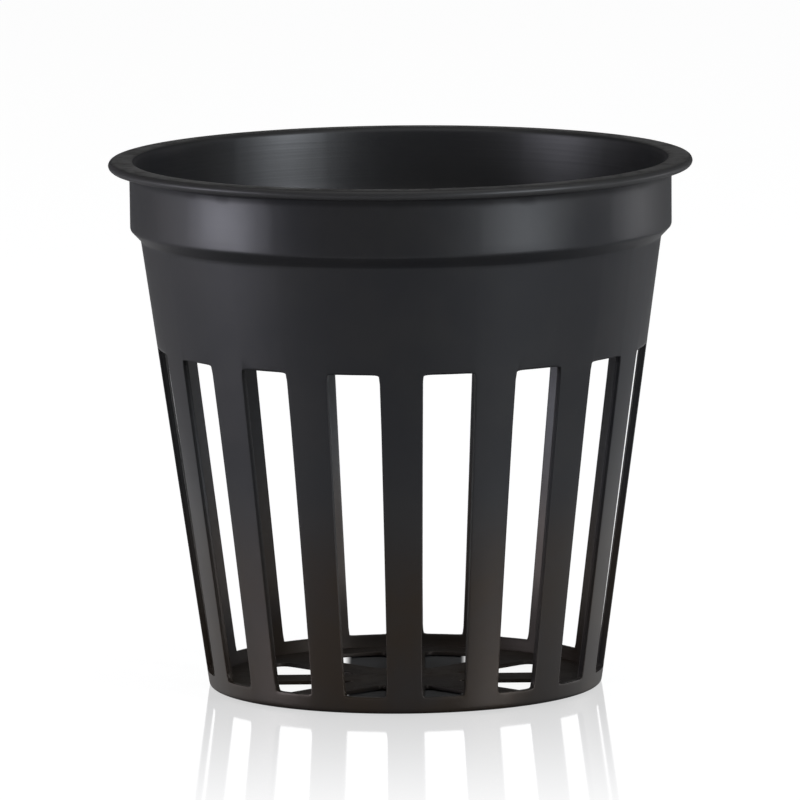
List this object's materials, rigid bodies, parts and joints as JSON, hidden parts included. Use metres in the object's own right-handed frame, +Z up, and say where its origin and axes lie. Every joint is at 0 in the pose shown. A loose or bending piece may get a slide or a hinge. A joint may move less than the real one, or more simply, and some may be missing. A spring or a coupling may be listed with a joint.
{
  "type": "net pot",
  "caption": "Small tapered black plastic net pot with a flanged rim, plain collar, slotted wall and spoked open floor, for growing plants in water.",
  "frame": {"origin": "on the surface the pot stands on, under the middle of its base", "axes": "+Z up along the pot's axis towards the open mouth, -Y towards the front rib"},
  "size_m": [0.055, 0.055, 0.05],
  "materials": {
    "black_plastic": "satin, as moulded"
  },
  "bodies": {
    "root": {"rim_lip": "black_plastic", "collar_band": "black_plastic", "collar_shoulder": "black_plastic", "plain_wall": "black_plastic", "rib_01": "black_plastic", "rib_02": "black_plastic", "rib_03": "black_plastic", "rib_04": "black_plastic", "rib_05": "black_plastic", "rib_06": "black_plastic", "rib_07": "black_plastic", "rib_08": "black_plastic", "rib_09": "black_plastic", "rib_10": "black_plastic", "rib_11": "black_plastic", "rib_12": "black_plastic", "rib_13": "black_plastic", "rib_14": "black_plastic", "rib_15": "black_plastic", "rib_16": "black_plastic", "base_ring": "black_plastic", "floor_spoke_1": "black_plastic", "floor_spoke_2": "black_plastic", "floor_spoke_3": "black_plastic", "floor_spoke_4": "black_plastic", "floor_spoke_5": "black_plastic", "floor_spoke_6": "black_plastic", "floor_spoke_7": "black_plastic", "floor_spoke_8": "black_plastic", "floor_hub": "black_plastic"}
  },
  "joints": []
}
